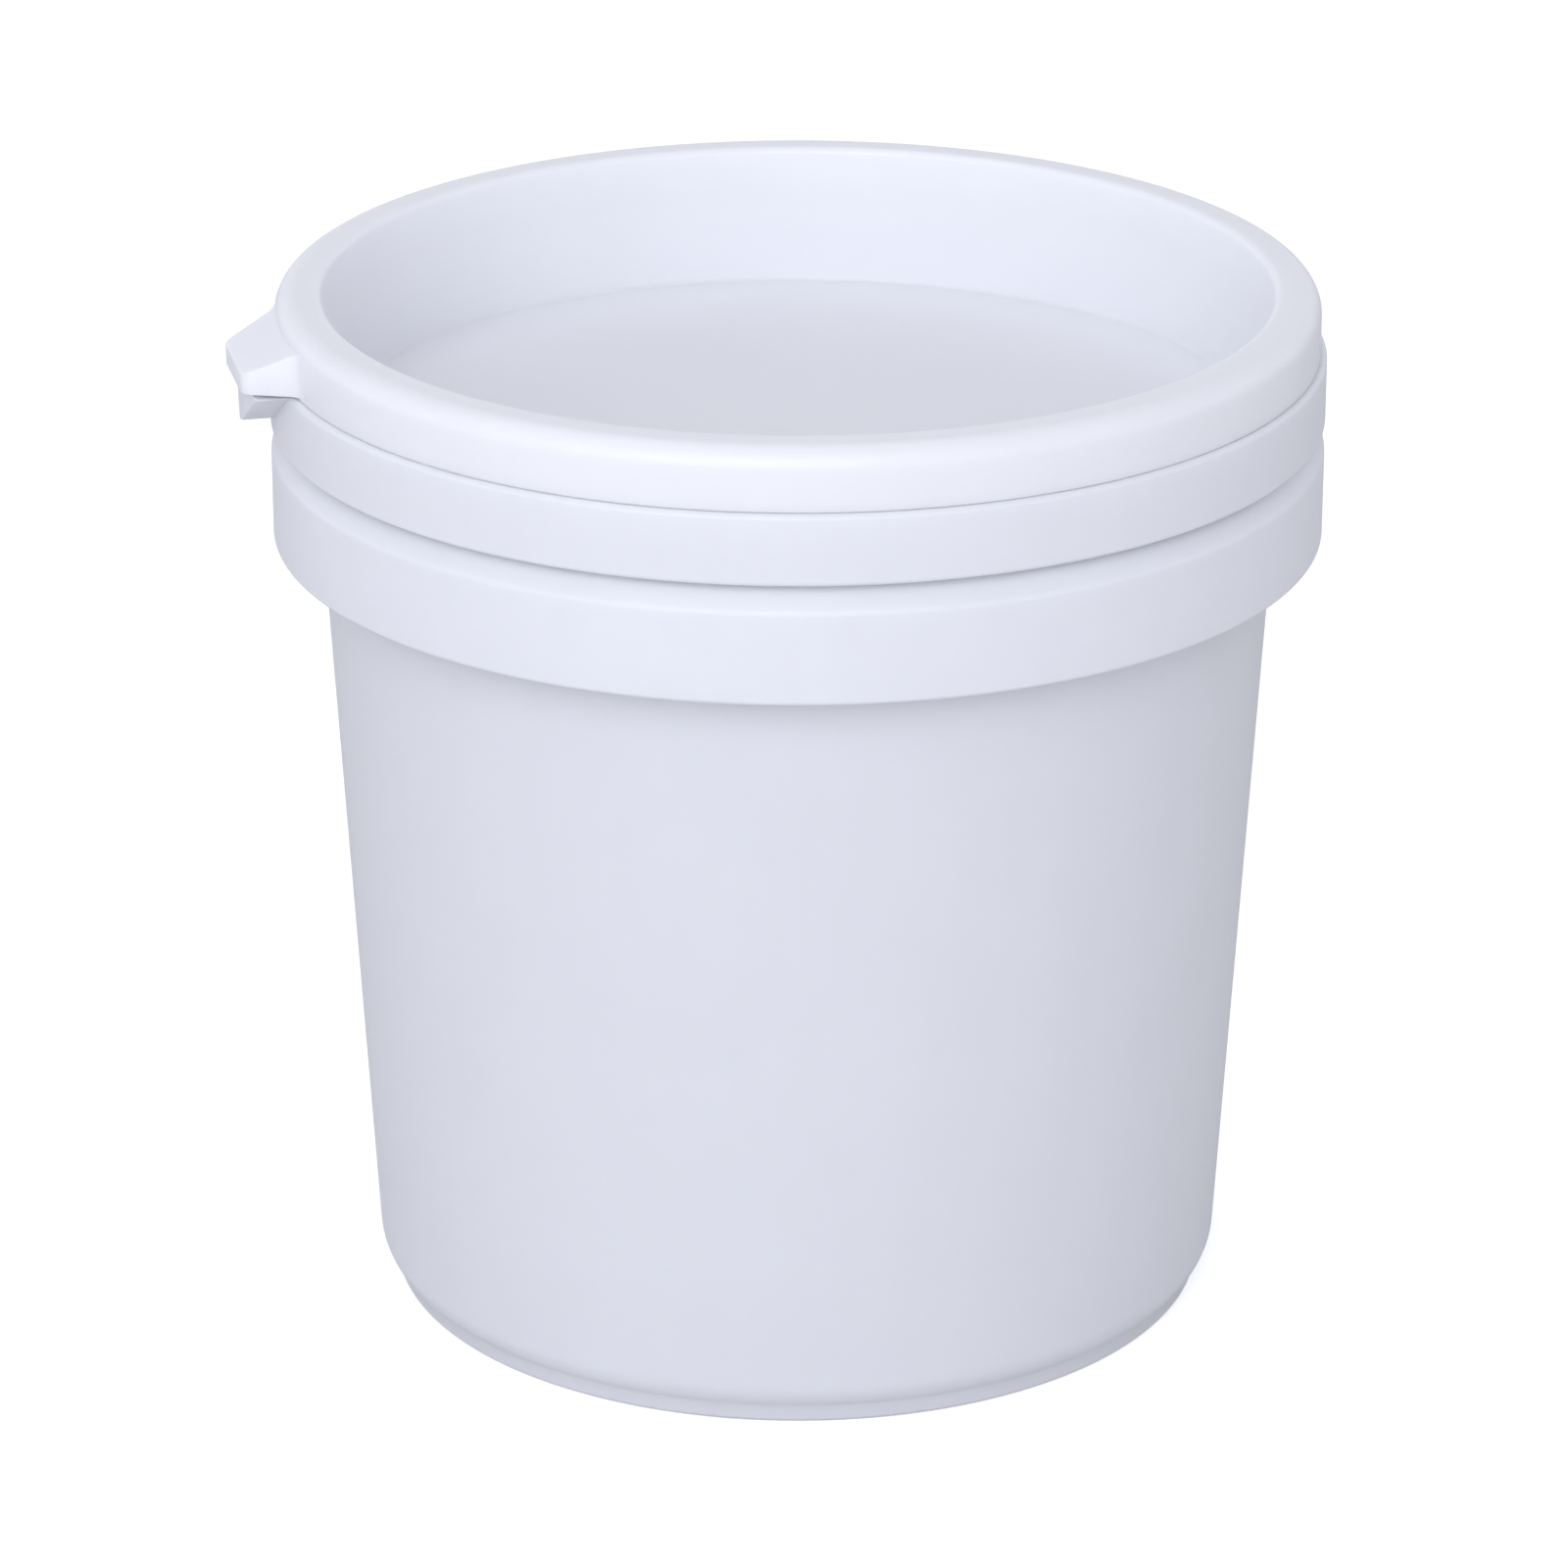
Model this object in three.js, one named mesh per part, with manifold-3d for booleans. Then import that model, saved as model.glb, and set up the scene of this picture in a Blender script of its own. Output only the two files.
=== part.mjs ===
// Moulded plastic paint tub: a tapered pail with a ribbed collar, closed by a press-on lid with a sunken panel.
// Millimetres, +Z up. The origin is the centre of the pail's flat base, and the finger tab points along -X.

import * as THREE from "three";
import { mergeVertices } from "three/addons/utils/BufferGeometryUtils.js";
import Module from "manifold-3d";

const wasm = await Module();
wasm.setup();

// Driving sizes of the pail
const collarRadius = 65;
const collarOverhang = 6;
const bodyTaper = THREE.MathUtils.degToRad(3.3);
const wall = 1.3;
const floorThickness = 1.4;
const floorFillet = 0.9;
const footHeight = 2.75;
const footStep = 0.3;
const footEdge = 0.6;
const cornerRadius = 5;
const cornerTurn = THREE.MathUtils.degToRad(45);

// Heights of the collar, from its lower hem to the top of the guard ring
const skirtBottom = 99.1;
const skirtHeight = 11.9;
const shoulderRound = 1.4;
const shoulderRise = 0.4;
const grooveHeight = 3.1;
const grooveDepth = 3.4;
const guardHeight = 8.4;
const guardRound = 1;

// The neck that stands up inside the lid
const neckHeight = 6.1;
const neckDraft = 0.25;
const snapBead = 0.55;
const snapBeadBelowRim = 1.9;

// Ribs under the collar's skirt
const ribCount = 24;
const ribThickness = 1;
const ribDrop = 7;

// Driving sizes of the lid
const lidWall = 1.2;
const channelGap = 0.3;
const seamGap = 0.4;
const lidSkirtWall = 1.3;
const lidSetback = 0.8;
const rimOuterRound = 1.4;
const rimInnerRound = 1;
const rimTop = 1.3;
const rimLand = 5.8;
const recessDepth = 17.7;
const recessBreakDepth = 8;
const recessUpperLean = 0.6;
const recessLowerLean = 0.5;
const panelFillet = 0.6;
const panelThickness = 1.3;
const beadSlope = 1;

// Finger tab of the lid and the hook below it on the guard ring
const tabReach = 5.9;
const tabRootWidth = 18.4;
const tabNoseWidth = 16;
const tabNoseRound = 1.5;
const tabRootBelowRim = 2.15;
const tabNoseHeight = 2.1;
const hookReach = 4;
const hookTopNear = 8.3;
const hookTopFar = 7.8;
const hookTipNear = 1.2;
const hookTipFar = 4;
const hookNearHeight = 5.5;
const hookFarHeight = 6.3;

// Fineness of the turned surfaces and of their rounds
const turns = 64;
const roundSteps = 3;
const hemSteps = 4;

// Heights and radii that follow from the sizes above
const shoulderTop = skirtBottom + skirtHeight;
const hollowTop = shoulderTop - wall;
const guardBottom = shoulderTop + grooveHeight;
const guardTop = guardBottom + guardHeight;
const neckTop = guardTop + neckHeight;
const neckOuter = collarRadius - grooveDepth;
const neckInner = neckOuter - wall;
const skirtInner = collarRadius - wall;
const lidOuter = collarRadius - lidSetback;
const lidBottom = guardTop + seamGap;
const channelTop = neckTop + channelGap;
const lidTop = channelTop + rimTop;
const lidSkirtInner = lidOuter - lidSkirtWall;
const recessTopRadius = lidOuter - rimLand;
const recessBreakRadius = recessTopRadius - recessUpperLean;
const recessRadius = recessBreakRadius - recessLowerLean;
const panelTop = lidTop - recessDepth;
const recessBreak = lidTop - recessBreakDepth;

function bodyRadius(z) {
  return collarRadius - collarOverhang - (skirtBottom - z) * Math.tan(bodyTaper);
}

// Centre of the round between the tapered wall and the foot
const cornerZ = footHeight + cornerRadius * Math.sin(cornerTurn);
const cornerX = bodyRadius(cornerZ) - cornerRadius / Math.cos(bodyTaper);
const footRadius = cornerX + cornerRadius * Math.cos(cornerTurn) - footStep;

// Turns a profile of radius and height about the axis
function turned(profile) {
  const geometry = new THREE.LatheGeometry(profile.getPoints(1), turns);
  return geometry.rotateX(Math.PI / 2);
}

// Makes a closed solid of a geometry whose faces point outwards
function solid(geometry) {
  const bare = geometry.clone();
  bare.deleteAttribute("normal");
  bare.deleteAttribute("uv");
  const merged = mergeVertices(bare);
  const index = merged.index.array;
  const triangles = [];
  for (let i = 0; i < index.length; i += 3) {
    const [a, b, c] = [index[i], index[i + 1], index[i + 2]];
    if (a !== b && b !== c && c !== a) {
      triangles.push(a, b, c);
    }
  }
  const mesh = new wasm.Mesh({
    numProp: 3,
    vertProperties: new Float32Array(merged.attributes.position.array),
    triVerts: new Uint32Array(triangles),
  });
  return new wasm.Manifold(mesh);
}

function geometryOf(body) {
  const mesh = body.getMesh();
  const geometry = new THREE.BufferGeometry();
  geometry.setAttribute("position", new THREE.BufferAttribute(mesh.vertProperties, 3));
  geometry.setIndex(new THREE.BufferAttribute(mesh.triVerts, 1));
  geometry.computeVertexNormals();
  return geometry;
}

// Rounded corner of a profile: an arc about a centre from one angle to another, in degrees
function corner(profile, x, z, radius, from, to, steps = roundSteps) {
  for (let i = 0; i <= steps; i += 1) {
    const angle = THREE.MathUtils.degToRad(from + ((to - from) * i) / steps);
    profile.lineTo(x + radius * Math.cos(angle), z + radius * Math.sin(angle));
  }
}

// Half-round hem at the lower edge of a hanging skirt of the pail's wall thickness
function hem(profile, outerRadius, bottom) {
  const radius = wall / 2;
  corner(profile, outerRadius - radius, bottom + radius, radius, 180, 360, hemSteps);
}

// A profile drawn in radius and height, given a thickness across the radius
function plate(outline, thickness) {
  const shape = new THREE.Shape(outline.map(([x, z]) => new THREE.Vector2(x, z)));
  const geometry = new THREE.ExtrudeGeometry(shape, { depth: thickness, bevelEnabled: false });
  geometry.translate(0, 0, -thickness / 2);
  return geometry.rotateX(Math.PI / 2);
}

function pailProfile() {
  const path = new THREE.Path();
  const turnDegrees = THREE.MathUtils.radToDeg(cornerTurn);
  const taperDegrees = THREE.MathUtils.radToDeg(bodyTaper);

  // Flat base and foot
  path.moveTo(0, 0);
  path.lineTo(footRadius - footEdge, 0);
  corner(path, footRadius - footEdge, footEdge, footEdge, -90, 0);
  path.lineTo(footRadius, footHeight);

  // Rounded lower corner and tapered wall
  path.lineTo(footRadius + footStep, footHeight);
  corner(path, cornerX, cornerZ, cornerRadius, -turnDegrees, -taperDegrees);
  path.lineTo(bodyRadius(hollowTop), hollowTop);

  // Hanging skirt of the collar, open below
  path.lineTo(skirtInner, hollowTop);
  hem(path, collarRadius, skirtBottom);
  corner(path, collarRadius - shoulderRound, shoulderTop - shoulderRound, shoulderRound, 0, 90);

  // Groove, and the guard ring that overhangs it
  path.lineTo(neckOuter, shoulderTop + shoulderRise);
  path.lineTo(neckOuter, guardTop - wall);
  path.lineTo(skirtInner, guardTop - wall);
  hem(path, collarRadius, guardBottom);
  corner(path, collarRadius - guardRound, guardTop - guardRound, guardRound, 0, 90);

  // Neck with its snap bead and rounded lip
  path.lineTo(neckOuter, guardTop);
  path.lineTo(neckOuter, neckTop - snapBeadBelowRim - snapBead);
  path.lineTo(neckOuter + snapBead, neckTop - snapBeadBelowRim);
  corner(path, neckOuter - wall / 2, neckTop - wall / 2, wall / 2, 0, 180, hemSteps);

  // Inside of the neck, ledge and tapered wall down to the floor
  path.lineTo(neckInner - neckDraft, shoulderTop + wall);
  path.lineTo(bodyRadius(hollowTop) - wall, hollowTop);
  corner(path, cornerX, cornerZ, cornerRadius - wall, -taperDegrees, -turnDegrees);
  path.lineTo(footRadius - wall, footHeight);
  path.lineTo(footRadius - wall, floorThickness + floorFillet);
  corner(path, footRadius - wall - floorFillet, floorThickness + floorFillet, floorFillet, 0, -90);
  path.lineTo(0, floorThickness);
  return path;
}

// One rib stands between the tapered wall and the skirt, with a sloping lower edge
function ribGeometry() {
  const bite = wall / 2;
  const low = hollowTop - ribDrop;
  const inner = bodyRadius(low) - bite;
  const outer = skirtInner + bite;
  const outline = [
    [inner, low - bite],
    [outer, low + ribDrop / 2],
    [outer, hollowTop + bite],
    [inner, hollowTop + bite],
  ];
  return plate(outline, ribThickness);
}

// The hook hangs from the guard ring below the tab: a ramp on its near side, a short slope on its far side
function hookSolid() {
  const bite = wall / 2;
  const reach = collarRadius + hookReach;
  const shape = new THREE.Shape();
  shape.moveTo(-hookTopNear, guardTop);
  shape.lineTo(hookTipNear, guardTop - hookNearHeight);
  shape.lineTo(hookTipFar, guardTop - hookFarHeight);
  shape.lineTo(hookTopFar, guardTop);
  const block = new THREE.ExtrudeGeometry(shape, { depth: reach, bevelEnabled: false });
  block.applyMatrix4(new THREE.Matrix4().makeBasis(
    new THREE.Vector3(0, 1, 0),
    new THREE.Vector3(0, 0, 1),
    new THREE.Vector3(1, 0, 0),
  ));
  block.translate(-reach, 0, 0);
  const band = new THREE.Path();
  const inner = collarRadius - bite;
  band.moveTo(inner, guardBottom);
  band.lineTo(reach, guardBottom);
  band.lineTo(reach, guardTop);
  band.lineTo(inner, guardTop);
  band.lineTo(inner, guardBottom);
  const half = new THREE.BoxGeometry(reach, 2 * reach, 2 * lidTop).translate(-reach / 2, 0, 0);
  return solid(block).intersect(solid(turned(band))).intersect(solid(half));
}

function makePail() {
  let body = solid(turned(pailProfile()));
  for (let i = 0; i < ribCount; i += 1) {
    const angle = ((i + 0.5) / ribCount) * 2 * Math.PI;
    body = body.add(solid(ribGeometry().rotateZ(angle)));
  }
  return body.add(hookSolid());
}

function lidProfile() {
  const path = new THREE.Path();
  const plugRadius = recessRadius + lidWall;
  const panelBottom = panelTop - panelThickness;
  const sealZ = neckTop - snapBeadBelowRim - snapBead;
  const sealRadius = neckInner - channelGap;
  const plugTop = recessTopRadius + lidWall;
  const snapRadius = neckOuter + snapBead + channelGap;
  const lipZ = lidBottom + lidSkirtWall;

  // Underside of the panel, and the plug wall that goes down inside the neck
  path.moveTo(0, panelBottom);
  path.lineTo(plugRadius - panelFillet, panelBottom);
  corner(path, plugRadius - panelFillet, panelBottom + panelFillet, panelFillet, -90, 0);
  path.lineTo(recessBreakRadius + lidWall, recessBreak);
  path.lineTo(recessBreakRadius + lidWall, sealZ - beadSlope);
  path.lineTo(sealRadius, sealZ);
  path.lineTo(plugTop, sealZ + beadSlope);

  // Channel over the neck, and the lid's own skirt with its inner snap lip
  path.lineTo(plugTop, channelTop);
  path.lineTo(lidSkirtInner, channelTop);
  path.lineTo(lidSkirtInner, lipZ + beadSlope);
  path.lineTo(snapRadius, lipZ);
  path.lineTo(lidSkirtInner, lidBottom);
  path.lineTo(lidOuter, lidBottom);

  // Rounded rim
  path.lineTo(lidOuter, lidTop - rimOuterRound);
  corner(path, lidOuter - rimOuterRound, lidTop - rimOuterRound, rimOuterRound, 0, 90);
  path.lineTo(recessTopRadius + rimInnerRound, lidTop);
  corner(path, recessTopRadius + rimInnerRound, lidTop - rimInnerRound, rimInnerRound, 90, 180);

  // Leaning wall of the recess, down to the sunken panel
  path.lineTo(recessBreakRadius, recessBreak);
  path.lineTo(recessRadius, panelTop + panelFillet);
  corner(path, recessRadius - panelFillet, panelTop + panelFillet, panelFillet, 0, -90);
  path.lineTo(0, panelTop);
  return path;
}

// Outline of the tab seen from above, with its nose on an arc about the axis; inset makes the pocket's outline
function tabPlan(inset) {
  const nose = lidOuter + tabReach - inset;
  const rootHalf = tabRootWidth / 2 - inset;
  const noseHalf = tabNoseWidth / 2 - inset;
  const root = inset > 0 ? lidOuter : lidOuter - lidSkirtWall / 2;
  const edge = tabNoseRound - inset;
  const shape = new THREE.Shape();
  shape.moveTo(-root, -rootHalf);
  shape.lineTo(-root, rootHalf);
  shape.lineTo(-nose + edge, noseHalf);
  shape.quadraticCurveTo(-nose, noseHalf, -nose, noseHalf - edge);
  shape.lineTo(-nose, -noseHalf + edge);
  shape.quadraticCurveTo(-nose, -noseHalf, -nose + edge, -noseHalf);
  return shape;
}

// The tab is a wedge: full plan below, cut by a top face that falls from the root to the nose
function tabSolid(inset) {
  const nose = lidOuter + tabReach;
  const rootTop = lidTop - tabRootBelowRim - inset;
  const noseTop = lidBottom + tabNoseHeight - inset;
  const fall = (rootTop - noseTop) / tabReach;
  const block = new THREE.ExtrudeGeometry(tabPlan(inset), {
    depth: lidTop - lidBottom,
    bevelEnabled: false,
    curveSegments: roundSteps,
  });
  block.translate(0, 0, lidBottom);
  const inner = lidOuter - lidSkirtWall;
  const cut = [
    [-nose - wall, lidBottom - inset],
    [-inner, lidBottom - inset],
    [-inner, rootTop + fall * lidSkirtWall],
    [-nose - wall, noseTop - fall * wall],
  ];
  return solid(block).intersect(solid(plate(cut, 2 * tabRootWidth)));
}

function makeLid() {
  const shell = solid(turned(lidProfile()));
  return shell.add(tabSolid(0)).subtract(tabSolid(lidWall));
}

const pailPlastic = new THREE.MeshStandardMaterial({ color: 0xdfe1ee, roughness: 0.5, metalness: 0 });
const lidPlastic = new THREE.MeshStandardMaterial({ color: 0xe4e6f2, roughness: 0.45, metalness: 0 });

const pail = new THREE.Mesh(geometryOf(makePail()), pailPlastic);
pail.name = "pail";

const lid = new THREE.Mesh(geometryOf(makeLid()), lidPlastic);
lid.name = "lid";

const tub = new THREE.Group();
tub.add(pail, lid);

export default tub;
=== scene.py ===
import math

import bpy
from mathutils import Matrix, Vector


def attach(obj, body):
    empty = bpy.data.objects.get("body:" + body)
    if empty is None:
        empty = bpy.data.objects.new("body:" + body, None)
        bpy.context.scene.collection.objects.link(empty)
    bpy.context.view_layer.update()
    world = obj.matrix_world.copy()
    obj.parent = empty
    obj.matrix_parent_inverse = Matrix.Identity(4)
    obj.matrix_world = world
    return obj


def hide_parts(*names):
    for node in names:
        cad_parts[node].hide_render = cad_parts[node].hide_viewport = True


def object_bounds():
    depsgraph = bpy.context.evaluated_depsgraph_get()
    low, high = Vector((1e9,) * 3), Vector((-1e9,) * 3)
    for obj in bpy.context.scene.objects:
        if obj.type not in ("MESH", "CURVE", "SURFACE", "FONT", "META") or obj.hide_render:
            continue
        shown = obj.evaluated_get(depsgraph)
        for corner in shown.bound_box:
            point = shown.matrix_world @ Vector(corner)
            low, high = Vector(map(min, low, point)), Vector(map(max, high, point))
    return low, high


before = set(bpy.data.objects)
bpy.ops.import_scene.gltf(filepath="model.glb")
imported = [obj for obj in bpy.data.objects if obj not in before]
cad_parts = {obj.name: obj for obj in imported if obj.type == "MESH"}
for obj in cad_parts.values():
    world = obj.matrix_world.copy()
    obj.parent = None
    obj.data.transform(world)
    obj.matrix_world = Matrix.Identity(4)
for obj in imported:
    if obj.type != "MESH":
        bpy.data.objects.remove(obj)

cad_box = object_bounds()

# Camera
# A long lens looks down at the pail from the front, turned a little towards the side with the finger tab. The
# whole pail fits in a square picture.
camera_data = bpy.data.cameras.new("camera")
camera_data.sensor_fit = "HORIZONTAL"
camera_data.sensor_width = 36
camera_data.lens = 157.5
camera_data.clip_start = 0.05
camera = bpy.data.objects.new("camera", camera_data)
camera.location = (-0.18118, -0.78478, 0.38195)
camera.rotation_euler = [math.radians(a) for a in (68.4521, -0.033, -12.8675)]
bpy.context.scene.collection.objects.link(camera)
bpy.context.scene.camera = camera
bpy.context.scene.view_settings.view_transform = "Standard"


# Floor
# A pale matt sheet that the pail stands on. To the camera alone it also glows a little, so that the ground
# comes out white and still holds the shadow.
class Wire:
    """A shader node's output, which takes part in arithmetic as a number does."""

    def __init__(self, socket):
        self.socket = socket

    def into(self, socket):
        self.socket.id_data.links.new(self.socket, socket)

    def node(self, kind, name, inputs, output=0, **settings):
        """Adds a node of any other kind, with this wire on the named input."""
        made = self.socket.id_data.nodes.new(kind)
        for key, value in settings.items():
            setattr(made, key, value)
        self.into(made.inputs[name])
        for key, value in inputs.items():
            feed(made.inputs[key], value)
        return Wire(made.outputs[output])

    def math(self, operation, first, second):
        made = self.socket.id_data.nodes.new("ShaderNodeMath")
        made.operation = operation
        feed(made.inputs[0], first)
        feed(made.inputs[1], second)
        return Wire(made.outputs[0])

    def __add__(self, other):
        return self.math("ADD", self, other)

    def __radd__(self, other):
        return self.math("ADD", other, self)

    def __sub__(self, other):
        return self.math("SUBTRACT", self, other)

    def __rsub__(self, other):
        return self.math("SUBTRACT", other, self)

    def __mul__(self, other):
        return self.math("MULTIPLY", self, other)

    def __rmul__(self, other):
        return self.math("MULTIPLY", other, self)

    def ramp(self, low, high):
        """0 below low, 1 above high, smooth between."""
        return self.node("ShaderNodeMapRange", "Value", {"From Min": low, "From Max": high},
                         interpolation_type="SMOOTHSTEP")


def feed(socket, value):
    if isinstance(value, Wire):
        value.into(socket)
    else:
        socket.default_value = value


def mixed(red, green, blue):
    """One colour from three wires."""
    return red.node("ShaderNodeCombineColor", "Red", {"Green": green, "Blue": blue})


def shader(name):
    """A new material, with its principled shader and the object coordinates as a wire."""
    material = bpy.data.materials.new(name)
    material.use_nodes = True
    nodes = material.node_tree.nodes
    coordinates = nodes.new("ShaderNodeTexCoord")
    return material, nodes["Principled BSDF"], Wire(coordinates.outputs["Object"])


def noise(place, scale, detail):
    return place.node("ShaderNodeTexNoise", "Vector", {"Scale": scale, "Detail": detail})


bpy.ops.mesh.primitive_plane_add(size=6)
floor = bpy.context.object
floor.name = "floor"
floor_material, floor_shader, floor_place = shader("floor")
seen = Wire(floor_material.node_tree.nodes.new("ShaderNodeLightPath").outputs["Is Camera Ray"])
tone = noise(floor_place, 3.0, 2.0) * 0.01 + 0.7 + seen * 0.22
glow = seen * 0.46
mixed(tone, tone, tone).into(floor_shader.inputs["Base Color"])
mixed(glow, glow, glow).into(floor_shader.inputs["Emission Color"])
floor_shader.inputs["Emission Strength"].default_value = 1.0
floor_shader.inputs["Roughness"].default_value = 0.9
floor_shader.inputs["Specular IOR Level"].default_value = 0.1
floor.data.materials.append(floor_material)

# Room and lamps
# A pale room, darker overhead, with one large soft lamp in front, up on the left, and a weak one above. All
# have the slight blue of daylight.
daylight = (0.92, 0.935, 1.0)
world = bpy.data.worlds.new("room")
world.use_nodes = True
room = world.node_tree.nodes["Background"]
sky = Wire(world.node_tree.nodes.new("ShaderNodeTexCoord").outputs["Generated"])
upness = sky.node("ShaderNodeSeparateXYZ", "Vector", {}, output="Z")
level = 1.0 - 0.65 * upness.ramp(0.0, 0.8)
mixed(*(level * part for part in daylight)).into(room.inputs["Color"])
room.inputs["Strength"].default_value = 1.24
bpy.context.scene.world = world


def softbox(name, place, aim, size, power):
    data = bpy.data.lights.new(name, "AREA")
    data.shape = "RECTANGLE"
    data.size, data.size_y = size
    data.energy = power
    data.color = daylight
    lamp = bpy.data.objects.new(name, data)
    lamp.location = place
    bpy.context.scene.collection.objects.link(lamp)
    back = [a - b for a, b in zip(place, aim)]
    lean = math.atan2(math.hypot(back[0], back[1]), back[2])
    lamp.rotation_euler = (lean, 0, math.atan2(back[0], -back[1]))


softbox("key", place=(-0.48, -1.04, 0.72), aim=(0, 0, 0.07), size=(1.2, 0.9), power=8.8)
softbox("top", place=(-0.1, 0.2, 1.2), aim=(0, 0, 0.1), size=(0.9, 0.7), power=1.8)

# Pail
# One injection moulding in white polypropylene: base and foot, tapered wall, a collar that hangs clear of the
# wall on hidden ribs, a guard ring above it, the neck that carries the lid, and a hook on the ring below the
# lid's tab.
MM = 0.001


class Pen:
    """Draws a profile with straight runs and arcs, in radius and height, or in X and Y where seen from above."""

    def __init__(self, name, start, seen_from_above=False):
        self.flat = seen_from_above
        self.at = start
        bpy.ops.object.select_all(action="DESELECT")
        bpy.ops.mesh.primitive_plane_add(size=MM)
        self.piece = bpy.context.object
        self.piece.name = self.piece.data.name = name
        bpy.ops.object.mode_set(mode="EDIT")
        bpy.ops.mesh.select_all(action="SELECT")
        bpy.ops.mesh.merge(type="CENTER")
        bpy.ops.transform.translate(value=self.vector(*start))

    def vector(self, across, along):
        return (across * MM, along * MM, 0) if self.flat else (across * MM, 0, along * MM)

    def to(self, across, along):
        """Straight run to a point."""
        step = self.vector(across - self.at[0], along - self.at[1])
        bpy.ops.mesh.extrude_vertices_move(TRANSFORM_OT_translate={"value": step})
        self.at = (across, along)
        return self

    def arc(self, centre, degrees, steps=8):
        """Arc about a centre, counter-clockwise where the angle is positive."""
        turn = math.radians(degrees)
        bpy.ops.mesh.spin(steps=steps, angle=turn, center=self.vector(*centre),
                          axis=(0, 0, -1) if self.flat else (0, 1, 0))
        across, along = self.at[0] - centre[0], self.at[1] - centre[1]
        self.at = (centre[0] + across * math.cos(turn) - along * math.sin(turn),
                   centre[1] + across * math.sin(turn) + along * math.cos(turn))
        return self

    def revolve(self):
        """Turns the profile about the axis, joins the ends and leaves edit mode."""
        bpy.ops.mesh.select_all(action="SELECT")
        bpy.ops.mesh.spin(steps=240, angle=2 * math.pi, center=(0, 0, 0), axis=(0, 0, 1))
        bpy.ops.mesh.select_all(action="SELECT")
        bpy.ops.mesh.remove_doubles(threshold=2e-6)
        bpy.ops.mesh.normals_make_consistent(inside=False)
        bpy.ops.object.mode_set(mode="OBJECT")
        return self.piece


def rounded(piece, width, segments):
    """Rounds the sharp edges of a piece with a bevel, and applies it."""
    bpy.context.view_layer.objects.active = piece
    bevel = piece.modifiers.new("round", "BEVEL")
    bevel.width = width * MM
    bevel.segments = segments
    bevel.limit_method = "ANGLE"
    bevel.angle_limit = math.radians(28)
    bpy.ops.object.modifier_apply(modifier=bevel.name)
    return piece


def united(piece, other):
    """Joins another piece to this one as one solid, with nothing left inside."""
    bpy.context.view_layer.objects.active = piece
    union = piece.modifiers.new("union", "BOOLEAN")
    union.operation = "UNION"
    union.solver = "MANIFOLD"
    union.object = other
    bpy.ops.object.modifier_apply(modifier=union.name)
    bpy.data.objects.remove(other)
    return piece


def finished(piece, plastic, *others):
    """Takes in what is moulded with the piece, shades its curves smooth and gives every face the plastic."""
    bpy.ops.object.select_all(action="DESELECT")
    for one in (*others, piece):
        one.select_set(True)
    bpy.context.view_layer.objects.active = piece
    bpy.ops.object.join()
    bpy.ops.object.shade_smooth_by_angle(angle=math.radians(32))
    piece.data.materials.clear()
    piece.data.materials.append(plastic)
    bpy.ops.object.mode_set(mode="EDIT")
    bpy.ops.mesh.select_all(action="SELECT")
    bpy.ops.object.material_slot_assign()
    bpy.ops.object.mode_set(mode="OBJECT")


def moulded_plastic(name, tint, gloss, painted_shade_under_collar):
    """Satin plastic, slightly cloudy. The last argument darkens the colour of the thin wall under the collar:
    painted shade.
    """
    material, principled, place = shader(name)
    cloud = noise(place, 70.0, 4.0)
    flow = place.node("ShaderNodeMapping", "Vector", {"Scale": (1.0, 1.0, 0.12)})
    streak = noise(flow, 260.0, 2.0)
    # Painted shade: the base colour is darker below 94 mm and fades out by 101 mm, under the collar.
    below = 1.0 - place.node("ShaderNodeSeparateXYZ", "Vector", {}, output="Z").ramp(0.094, 0.101)
    tone_and_painted_shade = 0.98 + 0.03 * cloud + 0.012 * streak - painted_shade_under_collar * below
    mixed(*(part * tone_and_painted_shade for part in tint)).into(principled.inputs["Base Color"])
    peel = noise(place, 700.0, 2.0)
    grain = noise(place, 4200.0, 2.0)
    rough = gloss + 0.09 * (cloud - 0.5) + 0.06 * (peel - 0.5)
    rough.into(principled.inputs["Roughness"])
    skin = 0.7 * peel + 0.3 * grain
    bump = skin.node("ShaderNodeBump", "Height", {"Strength": 0.12, "Distance": 0.00012})
    bump.into(principled.inputs["Normal"])
    principled.inputs["IOR"].default_value = 1.49
    principled.inputs["Subsurface Weight"].default_value = 0.35
    principled.inputs["Subsurface Radius"].default_value = (1.0, 0.97, 1.0)
    principled.inputs["Subsurface Scale"].default_value = 0.0025
    return material


collar = round(cad_box[1][0] / MM, 2)
collar_bottom = 99.1
wall = 1.3
edge = wall / 2
taper = 3.3
draft = math.radians(taper)
foot_top = 2.75
corner_round = 5.0
corner_height = foot_top + corner_round * math.sin(math.radians(45))
pocket_top = 109.7
ring_bottom = 113.75
ring_top = 122.5
slit_top = 121.05
neck = 62.3
lip = 61.6
lip_top = 128.6


def wall_at(height):
    """The wall's outer radius, which is 59 mm where the collar ends."""
    return 59.0 - (collar_bottom - height) * math.tan(draft)


corner = (wall_at(corner_height) - corner_round / math.cos(draft), corner_height)
foot = corner[0] + corner_round * math.cos(math.radians(45)) - 0.3

# Underside, foot, rounded corner and wall
pen = Pen("pail_moulding", (0, 0.5))
pen.to(9.6, 0.5).to(10.0, 0.15).to(foot - 6.2, 0.15).to(foot - 5.4, 0)
pen.to(foot - 1.2, 0).arc((foot - 1.2, 0.9), 75, 6).to(foot + 0.1, 2.5).to(foot + 0.3, foot_top)
pen.arc(corner, 45 - taper, 12)
for height in (30, 60, 85, 100, pocket_top - 1.0):
    pen.to(wall_at(height), height)
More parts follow.
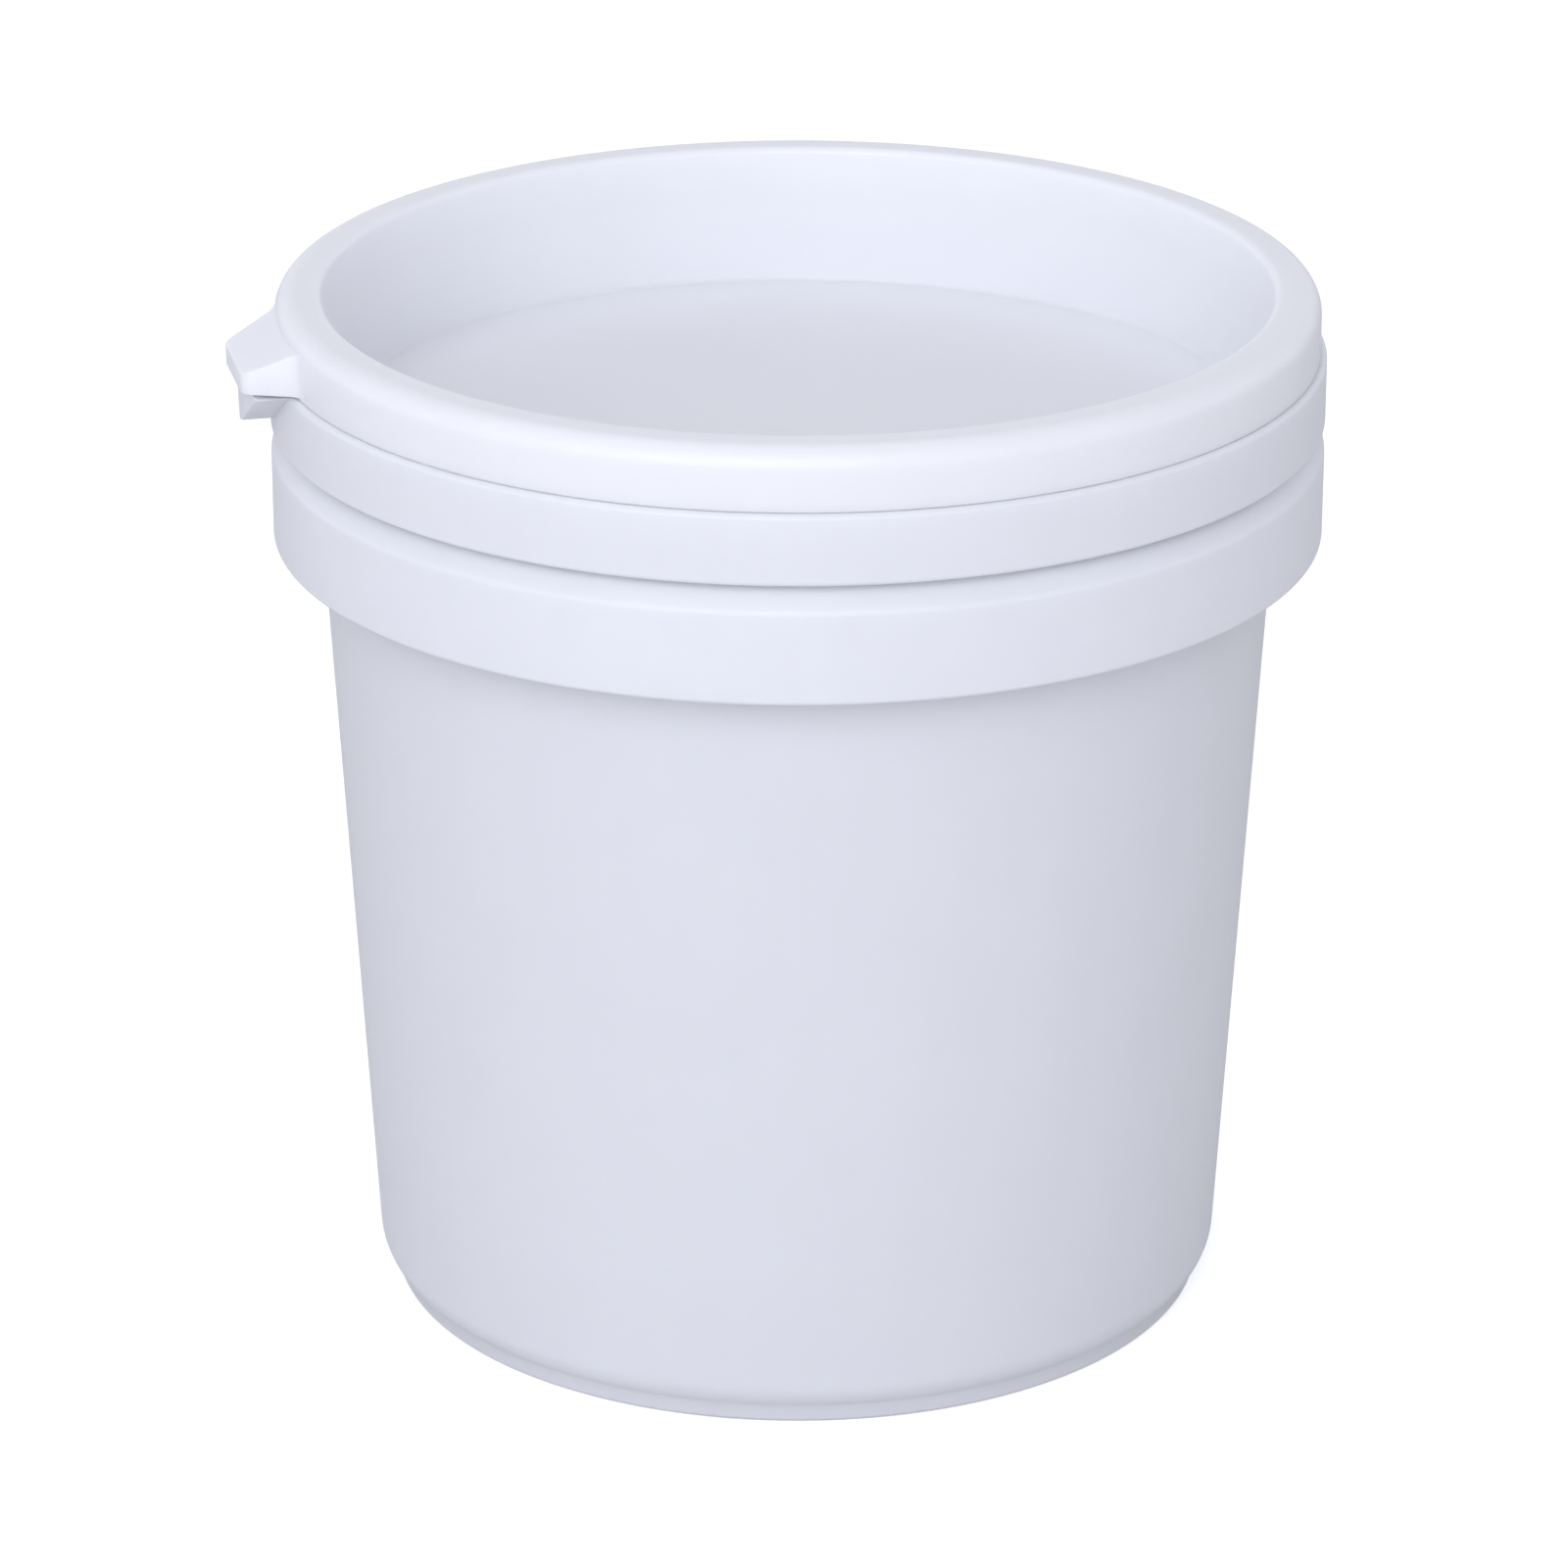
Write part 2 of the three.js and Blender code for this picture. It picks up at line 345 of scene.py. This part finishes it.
# Up behind the collar, round its lower edge and over its shoulder into the groove
pen.arc((pen.at[0] + 1.0, pocket_top - 1.0), -90, 5)
pen.to(collar - wall - 1.0, pocket_top).arc((collar - wall - 1.0, pocket_top - 1.0), -90, 5)
pen.to(collar - wall, collar_bottom + edge).arc((collar - edge, collar_bottom + edge), 180, 8)
pen.to(collar, 105).to(collar, 110.0).arc((collar - 1.5, 110.0), 35, 8)
pen.to(63.1, 113.19).to(neck, 113.9)
# Up behind the guard ring, round its lower edge and over its top
pen.to(neck, slit_top - 0.45).arc((neck + 0.45, slit_top - 0.45), -90, 5)
pen.to(63.25, slit_top).arc((63.25, slit_top - 0.45), -90, 5)
pen.to(collar - wall, ring_bottom + edge).arc((collar - edge, ring_bottom + edge), 180, 8)
pen.to(collar, ring_top - 0.7).arc((collar - 0.7, ring_top - 0.7), 90, 8)
# Neck with its snap bead, over the lip and down the inside
pen.to(lip + 0.3, ring_top).arc((lip + 0.3, ring_top + 0.3), -90, 4).to(lip, 126.15)
pen.to(lip + 0.3, 126.35).arc((lip + 0.3, 126.7), 180, 8).to(lip, 127.2)
pen.to(lip, lip_top - edge).arc((lip - edge, lip_top - edge), 180, 8)
pen.to(60.05, 112.3).to(58.3, 109.7).to(wall_at(80) - wall, 80).to(wall_at(40) - wall, 40)
inner_round = corner_round - wall
pen.to(corner[0] + inner_round * math.cos(draft), corner_height - inner_round * math.sin(draft))
pen.arc(corner, taper - 45, 8).to(foot - 1.3, foot_top).to(foot - 1.3, 2.3)
pen.arc((foot - 2.2, 2.3), -90, 5).to(25, 1.4).to(0, 1.4)
pail = pen.revolve()

# Ribs between the wall and the collar
rib_count = 24
rib_step = 2 * math.pi / rib_count
rib_root = wall_at(102.7) - 0.6
pen = Pen("pail_ribs", (rib_root, 102.0)).to(63.95, 106.2).to(63.95, 109.2).to(63.3, 109.9)
ribs = pen.to(rib_root, 109.9).piece
bpy.ops.mesh.select_all(action="SELECT")
bpy.ops.mesh.edge_face_add()
bpy.ops.transform.translate(value=(0, -0.5 * MM, 0))
bpy.ops.mesh.extrude_region_move(TRANSFORM_OT_translate={"value": (0, 1.0 * MM, 0)})
bpy.ops.mesh.select_all(action="SELECT")
bpy.ops.mesh.normals_make_consistent(inside=False)
bpy.ops.transform.rotate(value=rib_step / 2, orient_axis="Z", center_override=(0, 0, 0))
for _ in range(rib_count - 1):
    bpy.ops.mesh.duplicate()
    bpy.ops.transform.rotate(value=rib_step, orient_axis="Z", center_override=(0, 0, 0))
bpy.ops.object.mode_set(mode="OBJECT")
rounded(ribs, 0.15, 2)

# Hook below the tab: a stretch of the guard ring brought further out, cut to a ramp and two short slopes
pen = Pen("pail_hook", (collar - edge, 114.1)).to(69.0, 114.1).to(69.0, ring_top)
hook = pen.to(collar - edge, ring_top).piece
bpy.ops.mesh.select_all(action="SELECT")
bpy.ops.mesh.edge_face_add()
bpy.ops.transform.rotate(value=math.radians(172), orient_axis="Z", center_override=(0, 0, 0))
bpy.ops.mesh.spin(steps=16, angle=math.radians(16), center=(0, 0, 0), axis=(0, 0, 1))
bpy.ops.mesh.select_all(action="SELECT")
bpy.ops.mesh.normals_make_consistent(inside=False)
ramp_path = ((-8.3, ring_top), (1.2, 117.0), (4.0, 116.2), (7.8, ring_top))
for (y0, z0), (y1, z1) in zip(ramp_path, ramp_path[1:]):
    bpy.ops.mesh.select_all(action="SELECT")
    outward = Vector((0, z1 - z0, y0 - y1)).normalized()
    bpy.ops.mesh.bisect(plane_co=(0, y0 * MM, z0 * MM), plane_no=outward, use_fill=True, clear_outer=True)
bpy.ops.object.mode_set(mode="OBJECT")
rounded(hook, 0.45, 4)

# The pail's wall under the collar gets 0.05 of painted shade.
pail_plastic = moulded_plastic("pail_plastic", tint=(0.755, 0.765, 0.805), gloss=0.42, painted_shade_under_collar=0.05)
finished(united(pail, hook), pail_plastic, ribs)
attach(pail, "pail")
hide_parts("pail")

# Lid
# One injection moulding in the same white plastic, pressed over the neck: a sunken flat panel, a leaning wall up
# to a rounded rim, a channel with seal and snap beads that grips the neck, a short skirt and the finger tab.
rim_top = round(cad_box[1][2] / MM, 2)
skirt = 64.2
panel_top = 112.5
channel_top = 129.0

# Panel underside, plug and channel
pen = Pen("lid_moulding", (0, 111.2))
pen.to(57.9, 111.2).arc((57.9, 111.8), 90, 6).to(59.0, 122.2).to(59.0, 125.15)
pen.to(60.0, 126.0).to(60.0, 126.3).to(59.6, 127.15).to(59.6, channel_top - 0.4)
pen.arc((60.0, channel_top - 0.4), -90, 4).to(62.2, channel_top).arc((62.2, channel_top - 0.7), -90, 5)
# Snap bead, lower edge of the skirt and over the rim
pen.to(62.9, 124.9).to(62.45, 124.2).to(62.45, 123.9).to(62.9, 123.1).to(62.9, 122.9)
pen.arc((63.2, 122.9), 90, 4).to(skirt - 0.08, 122.55).arc((skirt - 0.08, 122.63), 90, 3)
pen.to(skirt, rim_top - 2.7).arc((skirt - 2.7, rim_top - 2.7), 90, 16)
pen.to(59.4, rim_top).arc((59.4, rim_top - 1.0), 84, 10)
# Down the recess to the panel
pen.to(57.62, 120.9).to(57.52, 119.9).to(57.3, 113.1).arc((56.7, 113.1), -90, 8)
pen.to(30, panel_top).to(0, panel_top)
lid = pen.revolve()


def around(centre, radius, degrees):
    """The point at an angle on a circle."""
    turn = math.radians(degrees)
    return centre[0] + radius * math.cos(turn), centre[1] + radius * math.sin(turn)


# Finger tab: an outline seen from above, wide at its flared roots and narrow at the nose, then hollowed
# below, raised, cut by the sloping top and rounded
axis = (0, 0)
root_angle = 9.42
side_angle = 68.53
root_round = 2.0
nose_round = 1.8
nose = round(cad_box[0][0] / MM, 2)
near_root = around(axis, skirt + root_round, 180 + root_angle)
far_root = around(axis, skirt + root_round, 180 - root_angle)
near_nose = (nose + nose_round, -5.574)
far_nose = (nose + nose_round, 5.574)
plan = Pen("lid_tab", (-63.05, 0), seen_from_above=True)
plan.to(*around(axis, skirt - 0.335, 180 + 10.26)).to(*around(axis, skirt, 180 + root_angle))
plan.arc(near_root, side_angle - root_angle).to(*around(near_nose, nose_round, 180 + side_angle))
plan.arc(near_nose, -side_angle).to(nose, far_nose[1]).arc(far_nose, -side_angle)
plan.to(*around(far_root, root_round, -side_angle)).arc(far_root, side_angle - root_angle)
tab = plan.to(*around(axis, skirt - 0.335, 180 - 10.26)).piece
bpy.ops.mesh.select_all(action="SELECT")
bpy.ops.mesh.edge_face_add()
bpy.ops.transform.translate(value=(0, 0, 122.9 * MM))
bpy.ops.mesh.inset(thickness=1.5 * MM)
bpy.ops.mesh.extrude_region_move(TRANSFORM_OT_translate={"value": (0, 0, 1.2 * MM)})
bpy.ops.mesh.select_all(action="DESELECT")
bpy.ops.mesh.select_non_manifold()
bpy.ops.mesh.extrude_region_move(TRANSFORM_OT_translate={"value": (0, 0, 6.2 * MM)})
bpy.ops.mesh.edge_face_add()
bpy.ops.mesh.select_all(action="SELECT")
bpy.ops.mesh.normals_make_consistent(inside=False)
upward = Vector((-2.75, 0, 5.9)).normalized()
bpy.ops.mesh.bisect(plane_co=(-skirt * MM, 0, 128.05 * MM), plane_no=upward, use_fill=True, clear_outer=True)
bpy.ops.object.mode_set(mode="OBJECT")
rounded(tab, 0.9, 5)

# Painted light: the lid's tint is lighter than the pail's, though both are the same plastic, so that its recess
# comes out brighter.
lid_plastic = moulded_plastic("lid_plastic", tint=(0.83, 0.835, 0.875), gloss=0.38, painted_shade_under_collar=0.0)
finished(united(lid, tab), lid_plastic)
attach(lid, "lid")
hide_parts("lid")
